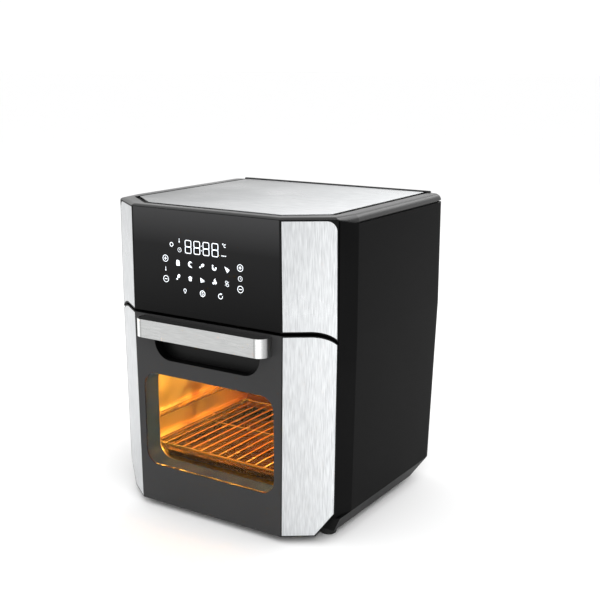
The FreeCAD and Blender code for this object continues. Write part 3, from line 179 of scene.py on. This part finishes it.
def brushed_steel(name, grain, dark, light, painted_reflection_stops, both_ends=False):
    """Stainless steel with its grain along one axis: short broad streaks and hair lines.

    Its colour is scaled through (X, factor) stops: a painted reflection, soft bands of a studio
    light painted into the steel."""
    recipe = Recipe(name, metallic=1.0, anisotropic=0.4)
    streaks = recipe.noise(1, grain_stretch(grain, 980, 62), detail=2)
    hairs = recipe.noise(1, grain_stretch(grain, 3400, 70), detail=2)
    clouds = recipe.noise(14, detail=2)
    shade = recipe.mix(recipe.remap(streaks, 0, 1), dark, light)
    shade = recipe.mix(recipe.remap(hairs, 0.0, 0.35), shade, light)
    # Painted reflection: the steel's colour is scaled by stops along X, as bands of a studio light.
    painted_reflection = recipe.bands(recipe.place_on(X, both_ends), painted_reflection_stops)
    recipe.set(
        base_color=recipe.scaled(shade, painted_reflection),
        roughness=recipe.remap(clouds, 0.25, 0.36),
    )
    return recipe.relief((streaks, 0.03 * MM), (hairs, 0.012 * MM), soften=0.4 * MM)


def moulded_plastic(name, color, rough, specular, grain=0.02):
    """Satin plastic with spark-eroded texture, faint clouding and rubbed edges."""
    recipe = Recipe(name, specular=specular)
    texture = recipe.noise(2600, detail=2)
    clouds = recipe.noise(11, detail=3)
    rub = recipe.worn_edges(0.7 * MM)
    lighter = tuple(c * 2.2 + 0.006 for c in color)
    shade = recipe.mix(recipe.remap(clouds, 0.0, 0.25), color, lighter)
    shade = recipe.mix(recipe.times(rub, 0.55), shade, lighter)
    recipe.set(
        base_color=shade,
        roughness=recipe.remap(clouds, rough - 0.04, rough + 0.05),
    )
    return recipe.relief((texture, grain * MM), soften=0.5 * MM)


def door_plastic():
    """Satin black of the door, with painted shade: black on its sideways faces round the steel and
    near black in the recess; the window tunnel is blue-grey, tinted against the lamp's orange
    spill.
    """
    color = (0.026, 0.026, 0.0265)
    recipe = Recipe("door_satin_black", specular=0.2)
    low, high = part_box("window_glass_outer")
    face = low.y - 0.4 * MM
    inside = recipe.height(Y, face + 0.5 * MM, face + 3 * MM)
    in_width = recipe.bands(
        recipe.place_on(X, both_ways=True),
        ((high.x + 4 * MM, 1), (high.x + 6 * MM, 0)),
    )
    in_height = recipe.bands(
        recipe.place_on(Z),
        ((low.z - 6 * MM, 0), (low.z - 4 * MM, 1), (high.z + 4 * MM, 1), (high.z + 7 * MM, 0)),
    )
    tunnel = recipe.times(in_width, in_height)
    # Painted shade: behind the face the recess is near black; the window tunnel is blue-grey,
    # tinted against the lamp's orange spill.
    recess_shade_tunnel_tint = recipe.mix(tunnel, (0.002, 0.002, 0.002), (0.03, 0.07, 0.11))
    clouds = recipe.noise(11, detail=3)
    rub = recipe.worn_edges(0.7 * MM)
    lighter = tuple(c * 1.9 for c in color)
    shade = recipe.mix(recipe.remap(clouds, 0.0, 0.2), color, lighter)
    shade = recipe.mix(recipe.times(rub, 0.4), shade, lighter)
    # Painted shade: faces that point sideways, round the steel trims, are blended to black.
    normal = recipe.node("NewGeometry", {}, "True Normal")
    sideways_shade = recipe.node("SeparateXYZ", {0: normal}, X)
    sideways_shade = recipe.node("Math", {0: sideways_shade}, operation="ABSOLUTE")
    shade = recipe.mix(recipe.remap(sideways_shade, 0, 1, 0.2, 0.4), shade, BLACK)
    recipe.set(
        base_color=recipe.mix(inside, shade, recess_shade_tunnel_tint),
        roughness=recipe.remap(clouds, 0.4, 0.5),
    )
    return recipe.relief((recipe.noise(2600, detail=2), 0.02 * MM), soften=0.5 * MM)


def gloss_panel():
    """Smoked glass of the touch panel: a painted reflection makes it paler towards its top and
    palest at its brow, with faint smears.
    """
    low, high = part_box("control_panel")
    recipe = Recipe("panel_gloss_black", specular=0.08)
    # Painted reflection: paler towards the panel's top, and palest at its brow.
    painted_reflection_rise = recipe.height(Z, low.z, high.z)
    shade = recipe.mix(painted_reflection_rise, (0.002, 0.002, 0.0021), (0.016, 0.016, 0.0165))
    painted_sheen_brow = recipe.height(Z, (low.z + high.z) / 2 + 20 * MM, high.z)
    smears = recipe.noise(7, (1, 1, 2.5), detail=4)
    recipe.set(
        base_color=recipe.mix(painted_sheen_brow, shade, (0.042, 0.042, 0.043)),
        roughness=recipe.remap(smears, 0.08, 0.15),
    )
    return recipe.relief((recipe.noise(28, detail=1), 0.01 * MM), soften=0.3 * MM)


def sheet_steel(name, dark, light, rough):
    """Rolled and galvanised sheet with soft spangles and a rolling grain."""
    recipe = Recipe(name, metallic=1.0)
    rolling = recipe.noise(1, grain_stretch(X, 900, 30), detail=2)
    spangle = recipe.node("TexVoronoi", {"Vector": recipe.point(), "Scale": 150.0}, "Color")
    spangle = recipe.node("SeparateXYZ", {0: spangle}, X)
    shade = recipe.mix(recipe.remap(rolling, 0, 1), dark, light)
    recipe.set(
        base_color=recipe.mix(recipe.times(spangle, 0.2), shade, light),
        roughness=recipe.remap(spangle, rough, rough + 0.1, 0, 1),
    )
    return recipe.relief((rolling, 0.02 * MM), (spangle, 0.004 * MM), soften=0.3 * MM)


def cavity_steel():
    """Cavity lining: satin steel with painted shade that darkens it brown towards its roof, mottled
    by stains, and deep orange towards its rear wall.
    """
    low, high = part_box("cavity_liner")
    recipe = Recipe("cavity_steel", metallic=0.9)
    rolling = recipe.noise(1, grain_stretch(X, 1100, 45), detail=2)
    stains = recipe.noise(24, detail=5)
    # Painted shade towards the roof, mottled by stains, turns the steel brown.
    roof_shade_and_stain = recipe.times(recipe.height(Z, low.z + 0.1, high.z), recipe.remap(stains, 0.2, 0.8))
    steel = recipe.mix(recipe.remap(rolling, 0, 1), (0.52, 0.5, 0.47), (0.7, 0.68, 0.64))
    steel = recipe.mix(roof_shade_and_stain, steel, (0.44, 0.3, 0.17))
    depth = recipe.height(Y, low.y + 0.08, high.y)
    recipe.set(
        base_color=recipe.mix(depth, steel, (0.4, 0.17, 0.045)),
        roughness=recipe.remap(stains, 0.3, 0.5),
    )
    return recipe.relief((rolling, 0.02 * MM), (stains, 0.05 * MM), soften=0.3 * MM)


def plated(name, color, rough, scratch=0.01):
    """Plated or drawn metal with fine turning marks and a little tarnish."""
    recipe = Recipe(name, metallic=1.0)
    marks = recipe.noise(900, detail=3)
    tarnish = recipe.noise(60, detail=4)
    darker = tuple(c * 0.55 for c in color)
    recipe.set(
        base_color=recipe.mix(recipe.remap(tarnish, 0.0, 0.5), color, darker),
        roughness=recipe.remap(tarnish, rough, rough + 0.15),
    )
    return recipe.relief((marks, scratch * MM), soften=0.2 * MM)


def speckled_enamel():
    """Dark vitreous enamel with pale flecks and a slight orange peel."""
    recipe = Recipe("enamel_speckled", specular=0.5, coat=0.6, coat_roughness=0.08)
    peel = recipe.noise(260, detail=1)
    flecks = recipe.flecks(420, 0.14)
    recipe.set(
        base_color=recipe.mix(flecks, (0.012, 0.012, 0.014), (0.32, 0.32, 0.34)),
        roughness=recipe.remap(peel, 0.16, 0.28),
    )
    return recipe.relief((peel, 0.04 * MM), soften=0.4 * MM)


def heater_alloy():
    """Oxidised heater sheath with a dull red glow where the rings are hottest."""
    low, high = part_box("heating_element")
    recipe = Recipe("heater_oxidised", metallic=0.7)
    scale = recipe.noise(520, detail=4)
    glow = recipe.times(recipe.height(Z, low.z + 0.02, low.z), recipe.remap(scale, 0.5, 1.0))
    recipe.set(
        base_color=recipe.mix(recipe.remap(scale, 0, 1), (0.05, 0.035, 0.03), (0.16, 0.12, 0.1)),
        roughness=recipe.remap(scale, 0.5, 0.75),
        emission_color=(1.0, 0.13, 0.02),
        emission_strength=recipe.times(glow, 2.5),
    )
    return recipe.relief((scale, 0.06 * MM))


def clear_glass(name, tint, rough=0.0, ior=1.12):
    """Coated oven glass that hardly reflects, with a trace of waviness and wiped haze."""
    recipe = Recipe(name, base_color=tint, transmission=1.0, ior=ior)
    haze = recipe.noise(9, (1, 1, 3), detail=4)
    recipe.set(roughness=recipe.remap(haze, rough, rough + 0.03))
    return recipe.relief((recipe.noise(18, detail=1), 0.01 * MM))


def glowing(name, color, strength, mottle):
    """A lit surface, a little uneven in its brightness."""
    recipe = Recipe(name, base_color=color, roughness=0.4, emission_color=color)
    uneven = recipe.noise(mottle, detail=2)
    recipe.set(emission_strength=recipe.remap(uneven, strength * 0.85, strength * 1.1))
    return recipe.relief((uneven, 0.01 * MM))


def rubber(name, color, grain):
    """Matt rubber or silicone with a dusty bloom."""
    recipe = Recipe(name, specular=0.3)
    bloom = recipe.noise(45, detail=4)
    pores = recipe.noise(grain, detail=2)
    dusty = tuple(c * 1.6 + 0.02 for c in color)
    recipe.set(
        base_color=recipe.mix(recipe.remap(bloom, 0, 0.6), color, dusty),
        roughness=recipe.remap(pores, 0.62, 0.85),
    )
    return recipe.relief((pores, 0.05 * MM), soften=0.5 * MM)


def circuit_board():
    """Green solder mask over copper tracks, with tinned pads."""
    recipe = Recipe("circuit_board", specular=0.5)
    tracks = recipe.node(
        "TexBrick",
        {"Vector": recipe.point(), "Scale": 60.0, "Mortar Size": 0.03},
        "Fac",
    )
    pads = recipe.flecks(300, 0.16)
    mask = recipe.mix(tracks, (0.006, 0.07, 0.03), (0.02, 0.13, 0.05))
    recipe.set(
        base_color=recipe.mix(pads, mask, (0.6, 0.6, 0.58)),
        roughness=recipe.remap(recipe.noise(200), 0.25, 0.4),
    )
    return recipe.relief((tracks, 0.03 * MM))


PALE_STEEL = (0.69, 0.705, 0.715)
MID_STEEL = (0.47, 0.48, 0.49)
BLACK = (0.0025, 0.0025, 0.0026)

trim_low, trim_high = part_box("upper_trim_right")
plate_low, plate_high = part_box("top_plate")
strip_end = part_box("handle_strip")[1].x
# Painted reflection across the handle strip's rounded ends: a dark line, a bright band, then darker
# towards the end.
HANDLE_PAINTED_REFLECTION = (
    (strip_end - 12.5 * MM, 1.0),
    (strip_end - 10.5 * MM, 0.6),
    (strip_end - 8.5 * MM, 1.8),
    (strip_end - 4.5 * MM, 1.75),
    (strip_end - 2.0 * MM, 0.9),
    (strip_end, 0.6),
)

finishes = {
    "gloss_black": gloss_panel(),
    "door_black": door_plastic(),
    "side_panel": moulded_plastic("side_satin_black", BLACK, 0.38, 0.02, grain=0.03),
    "bezel": moulded_plastic("bezel_black", (0.004, 0.004, 0.0042), 0.3, 0.4),
    "black_plastic": moulded_plastic("black_plastic", BLACK, 0.45, 0.1),
    # Painted reflection: the upright trims are paler towards +X.
    "brushed_steel": brushed_steel(
        "brushed_steel_upright", Z, MID_STEEL, PALE_STEEL,
        painted_reflection_stops=((trim_low.x, 0.94), (trim_high.x, 1.12)),
    ),
    "cavity_steel": cavity_steel(),
    "zinc_steel": plated("zinc_plated_steel", (0.62, 0.62, 0.6), 0.28),
    "chrome_wire": plated("chrome_wire", (0.72, 0.72, 0.72), 0.14, scratch=0.004),
    "enamel": speckled_enamel(),
    "heater_alloy": heater_alloy(),
    "fan_aluminium": sheet_steel("fan_aluminium", (0.5, 0.5, 0.5), (0.68, 0.68, 0.69), 0.35),
    "motor_steel": sheet_steel("motor_steel", (0.36, 0.36, 0.37), (0.52, 0.52, 0.53), 0.34),
    "window_glass": clear_glass("window_glass", (0.97, 0.96, 0.95)),
    "lamp_glass": clear_glass("lamp_glass", (1.0, 0.9, 0.7), rough=0.1, ior=1.45),
    "lamp_light": glowing("lamp_filament", (1.0, 0.62, 0.28), 12.0, 300),
    "silicone": rubber("silicone_grey", (0.09, 0.09, 0.095), 700),
    "foot_rubber": rubber("foot_rubber", (0.008, 0.008, 0.008), 900),
    "circuit_board": circuit_board(),
    "switch_red": moulded_plastic("switch_red", (0.45, 0.02, 0.015), 0.4, 0.5),
}
particular = {
    # Painted reflection: the top plate is much paler towards +X.
    "top_plate": brushed_steel(
        "brushed_steel_top", X, MID_STEEL, PALE_STEEL,
        painted_reflection_stops=((plate_low.x, 0.36), (plate_high.x, 1.36)),
    ),
    "handle_strip": brushed_steel(
        "brushed_steel_handle", X, (0.4, 0.405, 0.405), (0.51, 0.515, 0.51),
        painted_reflection_stops=HANDLE_PAINTED_REFLECTION, both_ends=True,
    ),
    "handle_core": moulded_plastic("handle_core_black", (0.022, 0.022, 0.022), 0.4, 0.2),
    "window_glass_inner": clear_glass("window_glass_amber", (1.0, 0.6, 0.16)),
    "rear_screws": plated("black_oxide_steel", (0.07, 0.07, 0.072), 0.35),
}

for name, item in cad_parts.items():
    for used in item.material_slots:
        used.material = particular.get(name, finishes[used.material.name])


# ---------------------------------------------------------------- lit print on the touch panel

PRINT_DEPTH = 0.12


def arc(centre, radius, start, end, steps=16):
    """Points along part of a circle, from one angle to another in degrees."""
    turns = [math.radians(start + (end - start) * i / steps) for i in range(steps + 1)]
    return [(centre[0] + radius * math.cos(t), centre[1] + radius * math.sin(t)) for t in turns]


def circle(centre, radius):
    """The 24 corners of a full circle."""
    return arc(centre, radius, 0, 360 - 15, 23)


class Print:
    """Flat lit shapes on the panel, drawn in millimetres from the middle of the print."""

    def __init__(self, name, finish, origin):
        self.name = name
        self.finish = finish
        self.origin = origin
        self.mesh = bmesh.new()
        self.middle = (0, 0)
        self.scale = 1.0

    def stamp(self, icon, x, z, scale=1.0, **how):
        """Draws an icon, which is drawn about its own middle, at a place."""
        self.middle = (x, z)
        self.scale = scale
        icon(self, **how)
        self.middle = (0, 0)
        self.scale = 1.0

    def corner(self, point, depth):
        x = self.middle[0] + point[0] * self.scale
        z = self.middle[1] + point[1] * self.scale
        return self.mesh.verts.new(self.origin + Vector((x, -depth, z)) * MM)

    def fill(self, outline):
        """A plate inside an outline."""
        back = [self.corner(p, 0) for p in outline]
        front = [self.corner(p, PRINT_DEPTH) for p in outline]
        self.mesh.faces.new(back)
        self.mesh.faces.new(reversed(front))
        for i in range(len(outline)):
            j = (i + 1) % len(outline)
            self.mesh.faces.new((back[i], front[i], front[j], back[j]))

    def stroke(self, points, width, closed=False):
        """A line of even width along points, with mitred corners."""
        count = len(points)
        sides = []
        for i, (x, z) in enumerate(points):
            before = points[(i - 1) % count] if closed or i else points[0]
            after = points[(i + 1) % count] if closed or i < count - 1 else points[-1]
            first = Vector((x - before[0], z - before[1]))
            second = Vector((after[0] - x, after[1] - z))
            first = (first if first.length else second).normalized()
            second = (second if second.length else first).normalized()
            heading = (first + second).normalized()
            reach = width / 2 / max(0.4, heading.dot(first))
            across = Vector((-heading.y, heading.x)) * reach
            sides.append(((x + across.x, z + across.y), (x - across.x, z - across.y)))
        rings = []
        for left, right in sides:
            rings.append([
                self.corner(left, 0),
                self.corner(left, PRINT_DEPTH),
                self.corner(right, PRINT_DEPTH),
                self.corner(right, 0),
            ])
        for i in range(count if closed else count - 1):
            this, following = rings[i], rings[(i + 1) % count]
            for j in range(4):
                k = (j + 1) % 4
                self.mesh.faces.new((this[j], this[k], following[k], following[j]))
        if not closed:
            self.mesh.faces.new(rings[0])
            self.mesh.faces.new(reversed(rings[-1]))

    def place(self, slot, body):
        """Turns the drawing into a piece that rides on a body."""
        bmesh.ops.recalc_face_normals(self.mesh, faces=self.mesh.faces)
        data = bpy.data.meshes.new(self.name)
        self.mesh.to_mesh(data)
        self.mesh.free()
        piece = bpy.data.objects.new(self.name, data)
        bpy.context.scene.collection.objects.link(piece)
        data.materials.append(self.finish)
        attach(piece, body)


def digit(drawing):
    """A seven-segment 8 with rounded corners."""
    half_w, half_h, r = 4.1, 7.2, 1.5
    for side in (-1, 1):
        middle = side * half_h / 2
        tall = half_h / 2
        loop = []
        for cx, cz, start in ((1, 1, 0), (-1, 1, 90), (-1, -1, 180), (1, -1, 270)):
            centre = (cx * (half_w - r), middle + cz * (tall - r))
            loop += arc(centre, r, start, start + 90, 5)
        drawing.stroke(loop, 0.85, closed=True)


def thermometer(drawing):
    drawing.stroke([(0, 3), (0, -1.2)], 0.7)
    drawing.fill(circle((0, -2), 0.9))


def clock(drawing):
    drawing.stroke(circle((0, 0), 2.7), 0.45, closed=True)
    drawing.stroke([(0, 1.5), (0, 0), (1.2, -0.5)], 0.45)


def sign_button(drawing, upright):
    """A ring with a minus in it, or a plus."""
    drawing.stroke(circle((0, 0), 3.7), 0.62, closed=True)
    drawing.stroke([(-2, 0), (2, 0)], 0.7)
    if upright:
        for side in (-1, 1):
            drawing.stroke([(0, side * 0.4), (0, side * 2)], 0.7)


def fries(drawing):
    drawing.fill([(-2.9, -4), (2.9, -4), (3.1, 0.8), (-3.1, 0.8)])
    for i, tall in enumerate((3.4, 4.2, 3.8, 3.0)):
        left = -2.9 + i * 1.5
        drawing.fill([(left, 1.2), (left + 1.1, 1.2), (left + 1.1, tall), (left, tall)])


def prawn(drawing):
    drawing.stroke(arc((1.0, 0), 3.0, 70, 280, 14), 2.3)
    drawing.stroke([(1.6, -3.2), (3.4, -4.3)], 1.2)
    drawing.stroke([(2.2, 3.1), (3.6, 2.0)], 0.6)


def drumstick(drawing, lean):
    """A leg: an oval of meat, a bone and its two knuckles, leaning by an angle."""
    turn = math.radians(lean)

    def at(along, across):
        return (
            along * math.cos(turn) - across * math.sin(turn),
            along * math.sin(turn) + across * math.cos(turn),
        )

    oval = [at(1.4 + 2.9 * px, 2.1 * pz) for px, pz in circle((0, 0), 1)]
    drawing.fill(oval)
    drawing.stroke([at(-1.7, 0), at(-3.7, 0)], 1.0)
    for side in (-1, 1):
        drawing.fill(circle(at(-4.3, side * 0.65), 0.75))


def steak(drawing):
    drawing.stroke(arc((0, -0.4), 2.7, 160, 380, 16), 2.3)
    drawing.fill(circle((-2.6, 2.4), 1.2))


def pizza(drawing):
    drawing.fill([(-3.8, 3.4), (3.4, 0.2), (-0.2, -4.0)])
    drawing.stroke([(4.2, -0.5), (0.6, -4.7)], 0.9)


def cake(drawing):
    drawing.fill([(-3.2, 0), *arc((0, 0), 3.0, 0, 180, 12)[::-1], (3.2, 0)])
    drawing.fill([(-2.6, -0.7), (2.6, -0.7), (2.0, -3.6), (-2.0, -3.6)])


def pie(drawing):
    drawing.fill([(-3.2, 3.2), (3.8, -0.4), (-3.0, -2.4)])
    drawing.stroke([(-3.0, -3.4), (3.8, -1.5)], 0.7)


def fruit(drawing):
    for dx, dz, r in ((-1.8, -1.8, 1.7), (1.7, -1.0, 2.0), (0.4, 2.0, 1.6)):
        drawing.fill(circle((dx, dz), r))
    drawing.stroke([(0.4, 3.8), (1.6, 4.8)], 0.6)


def drying(drawing):
    drawing.stroke(circle((-0.9, 1.9), 1.7), 0.6, closed=True)
    drawing.stroke(circle((0.9, -2.0), 1.9), 0.6, closed=True)
    drawing.stroke([(-3.0, -2.6), (-1.8, -1.2)], 0.6)
    drawing.stroke([(1.8, 1.4), (3.0, 2.6)], 0.6)


def bulb(drawing):
    drawing.stroke(arc((0, 0.9), 2.2, -55, 235, 14), 0.8)
    for step in (-1.6, -2.8):
        drawing.stroke([(-1.1, step), (1.1, step)], 0.7)


def start_button(drawing):
    drawing.stroke(circle((0, 0), 4.1), 0.9, closed=True)
    drawing.stroke(arc((0, 1.0), 1.2, 0, 250, 10), 0.7)
    drawing.stroke(arc((0, -1.0), 1.2, 180, 430, 10), 0.7)


def turning_arrow(drawing):
    drawing.stroke(arc((0, 0), 3.4, 60, 375, 20), 0.9)
    drawing.fill([(0.4, 4.6), (3.0, 3.2), (0.6, 1.8)])


panel_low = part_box("control_panel")[0]
print_middle = Vector((-0.0022, panel_low.y, panel_low.z + 0.0455))
white_light = glowing("display_white", (0.9, 0.95, 1.0), 0.72, 400)

ICON_SCALE = 0.82
THERMOMETER_SCALE = 0.8
DIGIT_HEIGHT = 36.0
display = Print("display_digits", white_light, print_middle)
for column in (-19.0, -6.6, 6.2, 18.6):
    display.stamp(digit, column, DIGIT_HEIGHT)
for side in (-1, 1):
    display.fill(circle((-0.4, DIGIT_HEIGHT + side * 2.6), 0.55))
display.place("lamp_light", "housing")

symbols = Print("display_symbols", white_light, print_middle)
symbols.stroke(circle((29.4, 43.6), 0.7), 0.4, closed=True)
symbols.stroke(arc((32.4, 41.8), 1.6, 55, 305, 12), 0.6)
for left in (27.4, 29.7, 32.0):
    symbols.stroke([(left, 30.6), (left + 1.6, 30.6)], 1.0)
symbols.stamp(thermometer, -31.6, 42.0, THERMOMETER_SCALE)
symbols.stamp(clock, -31.4, 31.4, 0.9)
symbols.stroke(circle((-42.8, 36.6), 2.2), 0.7, closed=True)
symbols.place("lamp_light", "housing")

COLUMNS = (-34.2, -17.1, 0.0, 17.1, 34.2)
ROWS = {
    16.4: ((fries, {}), (prawn, {}), (drumstick, {"lean": 35}), (steak, {}), (pizza, {})),
    0.2: ((drumstick, {"lean": 55}), (cake, {}), (pie, {}), (fruit, {}), (drying, {})),
}
menu = Print("menu_icons", white_light, print_middle)
for row, icons in ROWS.items():
    for column, (icon, how) in zip(COLUMNS, icons):
        menu.stamp(icon, column, row, ICON_SCALE, **how)
menu.place("lamp_light", "housing")

KEY_COLUMN = 52.3
KEY_MIDDLE = 7.8
LOWEST_ROW = -15.2
buttons = Print("touch_buttons", white_light, print_middle)
for column in (-KEY_COLUMN, KEY_COLUMN):
    buttons.stamp(sign_button, column, 19.8, upright=True)
    buttons.stamp(sign_button, column, -4.0, upright=False)
buttons.stamp(thermometer, -KEY_COLUMN, KEY_MIDDLE, THERMOMETER_SCALE)
buttons.stamp(clock, KEY_COLUMN, KEY_MIDDLE)
for column, icon in ((-25.0, bulb), (0.0, start_button), (25.0, turning_arrow)):
    buttons.stamp(icon, column, LOWEST_ROW, ICON_SCALE)
buttons.place("lamp_light", "housing")


# ---------------------------------------------------------------- floor, light and camera


def point_at(item, target):
    item.rotation_euler = (Vector(target) - item.location).to_track_quat("-Z", "Y").to_euler()


def studio_light(name, kind, location, power):
    """A light of one kind in the scene, and its data."""
    data = bpy.data.lights.new(name, kind)
    data.energy = power
    light = bpy.data.objects.new(name, data)
    light.location = location
    bpy.context.scene.collection.objects.link(light)
    return light, data


def softbox(name, location, target, width, height, power):
    """A rectangular studio light aimed at a point."""
    light, data = studio_light(name, "AREA", location, power)
    data.shape = "RECTANGLE"
    data.size = width
    data.size_y = height
    point_at(light, target)


FLOOR_REACH = 40.0
floor_mesh = bpy.data.meshes.new("floor")
corners = [(x * FLOOR_REACH, y * FLOOR_REACH, 0) for x, y in ((-1, -1), (1, -1), (1, 1), (-1, 1))]
floor_mesh.from_pydata(corners, [], [(0, 1, 2, 3)])
floor = bpy.data.objects.new("floor", floor_mesh)
bpy.context.scene.collection.objects.link(floor)
floor_look = Recipe("floor_pale", specular=0.2, roughness=0.8)
clouds = floor_look.noise(3)
floor_look.set(base_color=floor_look.mix(clouds, (0.94, 0.94, 0.94), (0.96, 0.96, 0.96)))
floor_mesh.materials.append(floor_look.material)

scene = bpy.context.scene
scene.view_settings.view_transform = "Standard"
world = bpy.data.worlds.new("studio")
world.use_nodes = True
background = world.node_tree.nodes["Background"]
background.inputs["Color"].default_value = (1, 1, 1, 1)
background.inputs["Strength"].default_value = 1.05
scene.world = world

middle = (Vector(cad_box[0]) + Vector(cad_box[1])) / 2
softbox("key", (1.5, -1.6, 1.9), middle, 1.4, 1.4, 22)
softbox("fill", (-1.8, -0.9, 1.1), middle, 1.0, 1.6, 8)
softbox("back", (0.6, 1.7, 1.7), middle, 1.6, 1.0, 12)

LAMP_RADIUS = 12 * MM
lens_low, lens_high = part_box("lamp_lens")
before_lens = (lens_low + lens_high) / 2
before_lens.x = lens_low.x - LAMP_RADIUS
lamp = studio_light("cavity_lamp", "POINT", before_lens, 6.0)[1]
lamp.shadow_soft_size = LAMP_RADIUS
lamp.color = (1.0, 0.88, 0.4)

AZIMUTH = math.radians(33.12)
ELEVATION = math.radians(14.83)
DISTANCE = 1.274
aim = Vector((0.0164, 0.0165, 0.2043))
camera_data = bpy.data.cameras.new("camera")
camera_data.sensor_width = 36
camera_data.lens = 61.18
camera_data.shift_x = 0.0133
camera_data.shift_y = 0.05
camera = bpy.data.objects.new("camera", camera_data)
away = Vector((
    math.sin(AZIMUTH) * math.cos(ELEVATION),
    -math.cos(AZIMUTH) * math.cos(ELEVATION),
    math.sin(ELEVATION),
))
camera.location = aim + away * DISTANCE
scene.collection.objects.link(camera)
point_at(camera, aim)
scene.camera = camera

bpy.context.view_layer.update()
